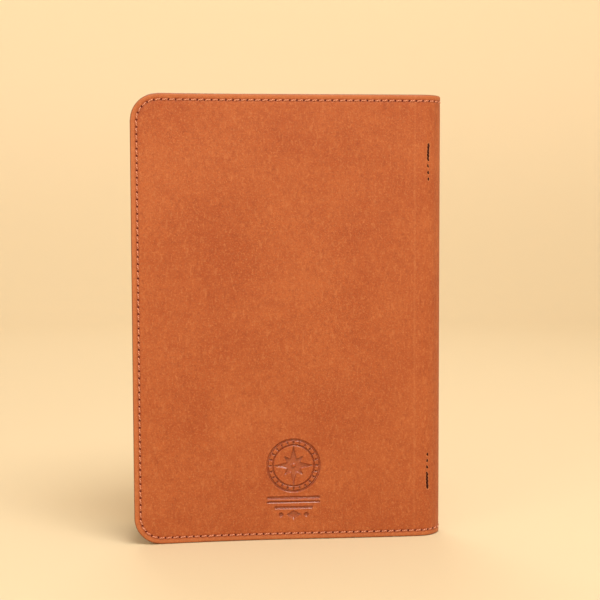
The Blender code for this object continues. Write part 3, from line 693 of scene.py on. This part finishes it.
def seam_line(distance):
    """The seam as (along, height) and the direction across it, outwards, at a distance round from the
    foot of the spine's middle line: straight, quarter circle, straight, quarter circle, straight."""
    up, back = distance - RUN - BEND, distance - RUN - 2 * BEND - RISE
    low = np.clip((distance - RUN) / SEAM_ROUND, 0, math.pi / 2)
    high = np.clip((distance - RUN - BEND - RISE) / SEAM_ROUND, 0, math.pi / 2)
    turn = low + high
    bent = SEAM_ROUND * (np.sin(low) - (1 - np.cos(high)))
    along = MIDDLE + np.clip(distance, None, RUN) + bent - np.maximum(back, 0)
    height = SEAM_INSET + SEAM_ROUND * (1 - np.cos(low) + np.sin(high)) + np.clip(up, 0, RISE)
    return along, height, np.sin(turn), -np.cos(turn)


def sew(name, side, line, starts, pitch, face, outward, radius, slant, material, reach=0.42):
    """One closed bead for each stitch. Along the bead t goes from -1 to 1: it rises from its hole by
    1 - |t|^2.6, thins at its ends by |t|^4 and crosses the line on a slant. Its ends are capped. The
    attribute `ply` holds the distance along the thread and the place in its cross-section."""
    t = np.linspace(-1, 1, BEAD_RINGS)[None, :, None]
    angle = (np.arange(BEAD_SIDES) * 2 * math.pi / BEAD_SIDES)[None, None, :]
    distance = starts[:, None, None] + pitch * (0.5 + reach * t)
    wobble = np.sin(starts * 9137.0)[:, None, None]
    girth = radius * (1 - 0.42 * np.abs(t) ** 4) * (1 + 0.06 * wobble)
    lateral = slant * (1 + 0.25 * wobble) * t + girth * np.cos(angle)
    rise = radius * 0.75 * (1 - np.abs(t) ** 2.6) - radius * 0.55 + girth * np.sin(angle)
    along, height, out_along, out_height = line(distance + 0 * angle)
    along, height = along + out_along * lateral, height + out_height * lateral
    points = wrap(side, along, face(along, height) - outward * rise, height).reshape(-1, 3)
    ply_rise = rise - radius * 0.2 * (1 - np.abs(t))
    ply = np.stack([distance + 0 * lateral, lateral - slant * t, ply_rise], axis=-1)
    base = (np.arange(len(starts)) * BEAD_RINGS * BEAD_SIDES)[:, None, None]
    ring = base + np.arange(BEAD_RINGS - 1)[None, :, None] * BEAD_SIDES
    corner = np.arange(BEAD_SIDES)[None, None, :]
    after = (corner + 1) % BEAD_SIDES
    quads = np.stack([ring + corner, ring + after, ring + BEAD_SIDES + after,
                      ring + BEAD_SIDES + corner], axis=-1).reshape(-1, 4)
    turned = outwards(points, quads)
    first = base[:, 0] + corner[0, :, ::-1]
    last = base[:, 0] + (BEAD_RINGS - 1) * BEAD_SIDES + corner[0]
    caps = np.concatenate([first, last])
    caps = caps if turned is quads else caps[:, ::-1]
    piece = new_object(name, points, list(turned) + list(caps), material, {"ply": ply.reshape(-1, 3)})
    return piece


def on_passport_side(along, height):
    """Inside the back cover the thread lies on the passport pocket, or past its mouth on the lining."""
    surface = np.where(along > PASSPORT_MOUTH, POCKET_FACES[1], LINING_FACES[1])
    return surface - seam_pull(along, height)


def on_document_side(along, height):
    """Inside the front cover it lies on the document pocket or the lining."""
    surface = np.where(along > DOCUMENT_MOUTH, POCKET_FACES[1], LINING_FACES[1])
    return surface - seam_pull(along, height)


holes = np.arange(STITCHES) * PITCH
middles, heights = seam_line(holes + PITCH / 2)[:2]
for side, word, inside in ((BACK, "back", on_passport_side), (FRONT, "front", on_document_side)):
    for place, face, outward in (("outside", seam_pull, 1), ("inside", inside, -1)):
        depth = COVER_MIDDLE if outward > 0 else INSIDE_MIDDLE
        slant = -SLANT * outward * side
        piece = sew(f"seam_stitches_{word}_{place}", side, seam_line, holes[middles > HALFWAY], PITCH,
                    face, outward, THREAD, slant, seam_thread)
        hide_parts(f"seam_thread_{word}_{place}")
        bend_with_cover(piece, side)
        for end, chosen in (("bottom", heights < HEIGHT / 2), ("top", heights > HEIGHT / 2)):
            row = sew(f"spine_stitches_{word}_{end}_{place}", side, seam_line,
                      holes[(middles < HALFWAY) & chosen], PITCH, face, outward, THREAD, slant, seam_thread)
            hidden = [f"spine_thread_{word}_{end}_{place}"]
            hidden += [f"spine_thread_middle_{end}_{place}"] if side == BACK else []
            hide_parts(*hidden)
            bend_with_spine(row, side)

# Short tack rows: thread pulled deep into its holes, holding the passport pocket's mouth by the spine. Its
# dark colour is painted shade, for the shadow down in the holes. The outer end of each row is sewn over
# twice.
TACK_THREAD, DOUBLED_THREAD, TACK_SINK = 0.00042, 0.00050, 0.00026
DOUBLED = np.array([0.12, 0.75, 1.35, 1.9])                 # in stitches from the outer end
# The tack thread's dark dyes are painted shade, for lying deep in its holes.
tack_thread = dye_thread("Tack Thread", dye(78, 28, 16), dye(38, 12, 7), 0.85)


def tack_line(distance):
    """A row up the spine's curve that wanders as its slots do."""
    along = TACK_LINE + tack_slots(distance)[1]
    return along, distance, np.ones_like(distance), np.zeros_like(distance)


for end, foot, first, inwards in (("bottom", TACK_START, 0, 1), ("top", HIGH_ROW, TACKS - 1, -1)):
    single = foot + np.arange(TACKS) * TACK_PITCH
    doubled = foot + (first + DOUBLED * inwards) * TACK_PITCH
    thickness = np.repeat([TACK_THREAD, DOUBLED_THREAD], [len(single), len(doubled)])[:, None, None]
    for place, outward, depth in (("outside", 1, TACK_SINK), ("inside", -1, POCKET_FACES[1])):
        piece = sew(f"tack_stitches_{end}_{place}", BACK, tack_line, np.concatenate([single, doubled]),
                    TACK_PITCH, lambda along, height, depth=depth: depth + 0 * along, outward, thickness,
                    0.00022, tack_thread, reach=0.30)
        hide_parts(f"tack_thread_{end}_{place}")
        bend_with_cover(piece, BACK)

# Card pocket seam: the same thread down one side of the stack, along its foot and up the other side,
# stepping up on to each pocket at its mouth.
seam_near, seam_far, seam_foot = CARD_NEAR + CARD_SEAM, CARD_FAR - CARD_SEAM, CARD_FOOT + CARD_SEAM
CARD_RUN, CARD_RISE = seam_far - seam_near, card_top(1) - CARD_SEAM - seam_foot
CARD_SEAM_LENGTH = 2 * CARD_RISE + CARD_RUN
CARD_STITCHES = round(CARD_SEAM_LENGTH / 0.0030)
CARD_STITCH = CARD_SEAM_LENGTH / CARD_STITCHES


def card_line(distance):
    """Down the far side, along the foot and up the near side, square at the corners."""
    down, along_foot = np.minimum(distance, CARD_RISE), np.clip(distance - CARD_RISE, 0, CARD_RUN)
    up = np.maximum(distance - CARD_RISE - CARD_RUN, 0)
    across = (distance > CARD_RISE) & (distance < CARD_RISE + CARD_RUN)
    sign = np.where(distance <= CARD_RISE, 1.0, -1.0)
    return (seam_far - along_foot, seam_foot + CARD_RISE - down + up, np.where(across, 0.0, sign),
            np.where(across, -1.0, 0.0))


def on_cards(along, height):
    """The thread lies on the highest pocket whose mouth is above it."""
    number = 4 - np.clip(np.ceil((height - card_top(4)) / CARD_STEP), 0, 3)
    return CARD_DEPTH + (number - 1) * CARD_PITCH + CARD_LEATHER


card_stitches = sew("card_pocket_stitches", FRONT, card_line, np.arange(CARD_STITCHES) * CARD_STITCH,
                    CARD_STITCH, on_cards, -1, 0.00033, 0.00012, seam_thread)
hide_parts("card_thread")
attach(card_stitches, "front")

# Floor: a wide sheet of pale paper that lies flat and sweeps up all round in a quarter circle.
FLOOR_SIDES, FLAT, SWEEP, WALL = 96, 1.2, 0.5, 2.4
sweep = [(FLAT + SWEEP * math.sin(a), SWEEP - SWEEP * math.cos(a)) for a in np.linspace(0.1, math.pi / 2, 14)]
profile = np.array([(0.5, 0.0), (0.9, 0.0), (FLAT, 0.0)] + sweep + [(FLAT + SWEEP, WALL / 2),
                                                                  (FLAT + SWEEP, WALL)])
turns = np.linspace(0, 2 * math.pi, FLOOR_SIDES + 1)[:-1]
out_to, up_to = profile[:, None, 0], profile[:, None, 1]
floor_points = np.stack([out_to * np.cos(turns), out_to * np.sin(turns), up_to + 0 * turns], axis=-1)
index = np.arange(len(profile) * FLOOR_SIDES).reshape(len(profile), FLOOR_SIDES)
beside = np.roll(index, -1, axis=1)
walls = np.stack([index[:-1], index[1:], beside[1:], beside[:-1]], axis=-1).reshape(-1, 4)
paper, paper_tree = new_material("Pale Paper")
paper_height = add(paper_tree, "SeparateXYZ", add(paper_tree, "TexCoord").outputs["Object"]).outputs["Z"]
# Painted shade: the paper is dyed darker on the floor than up the walls, against the top lamp's stronger
# light on the floor.
paper_shade_gradient = tint(paper_tree, fade(paper_tree, paper_height, 0.0, 0.6), dye(206, 188, 155),
                  dye(234, 217, 187))
paper_shader = add(paper_tree, "BsdfPrincipled", Base_Color=paper_shade_gradient, Roughness=0.9,
                   Specular_IOR_Level=0.1)
add(paper_tree, "OutputMaterial", paper_shader.outputs[0])
floor = new_object("floor", floor_points.reshape(-1, 3), list(walls) + [index[0]], paper, {})

# Lamps: a broad one above, two weak ones at the sides and one behind, all pointed at the wallet, in a
# pale surround.
LAMP_TARGET, LAMP_COLOUR = Vector((0, 0, 0.1)), (1.0, 0.98, 0.95)


def hang_lamp(name, place, size, power):
    """A square lamp whose -Z points at the target, with +Y up."""
    lamp = bpy.data.lights.new(name, "AREA")
    lamp.size, lamp.energy, lamp.color = size, power, LAMP_COLOUR
    hung = bpy.data.objects.new(name, lamp)
    hung.location = place
    hung.rotation_euler = (LAMP_TARGET - Vector(place)).to_track_quat("-Z", "Y").to_euler()
    bpy.context.scene.collection.objects.link(hung)


hang_lamp("top_lamp", (0.36, -0.85, 1.50), 0.95, 29.0)
hang_lamp("left_lamp", (-0.85, -1.0, 0.40), 0.6, 4.0)
hang_lamp("right_lamp", (1.0, -0.15, 0.45), 1.2, 1.3)
hang_lamp("back_lamp", (-0.15, 1.25, 1.25), 0.9, 10.0)
world = bpy.data.worlds.new("studio")
world.use_nodes = True
world.node_tree.nodes["Background"].inputs["Color"].default_value = (1.0, 0.985, 0.96, 1.0)
world.node_tree.nodes["Background"].inputs["Strength"].default_value = 0.55
bpy.context.scene.world = world

# Camera: a little left of the wallet's middle and above it, turned a little right and down.
CAMERA_PLACE = (-0.0263, -0.6217, 0.1545)
YAW, PITCH_UP, ROLL = math.radians(-2.955), math.radians(90 - 3.81), math.radians(-0.18)
camera_data = bpy.data.cameras.new("camera")
camera_data.sensor_width, camera_data.lens = 36.0, 77.9
camera = bpy.data.objects.new("camera", camera_data)
camera.matrix_world = (Matrix.Translation(CAMERA_PLACE) @ Matrix.Rotation(YAW, 4, "Z") @
                       Matrix.Rotation(PITCH_UP, 4, "X") @ Matrix.Rotation(ROLL, 4, "Z"))
bpy.context.scene.collection.objects.link(camera)
bpy.context.scene.camera = camera
bpy.context.scene.view_settings.view_transform = "Standard"
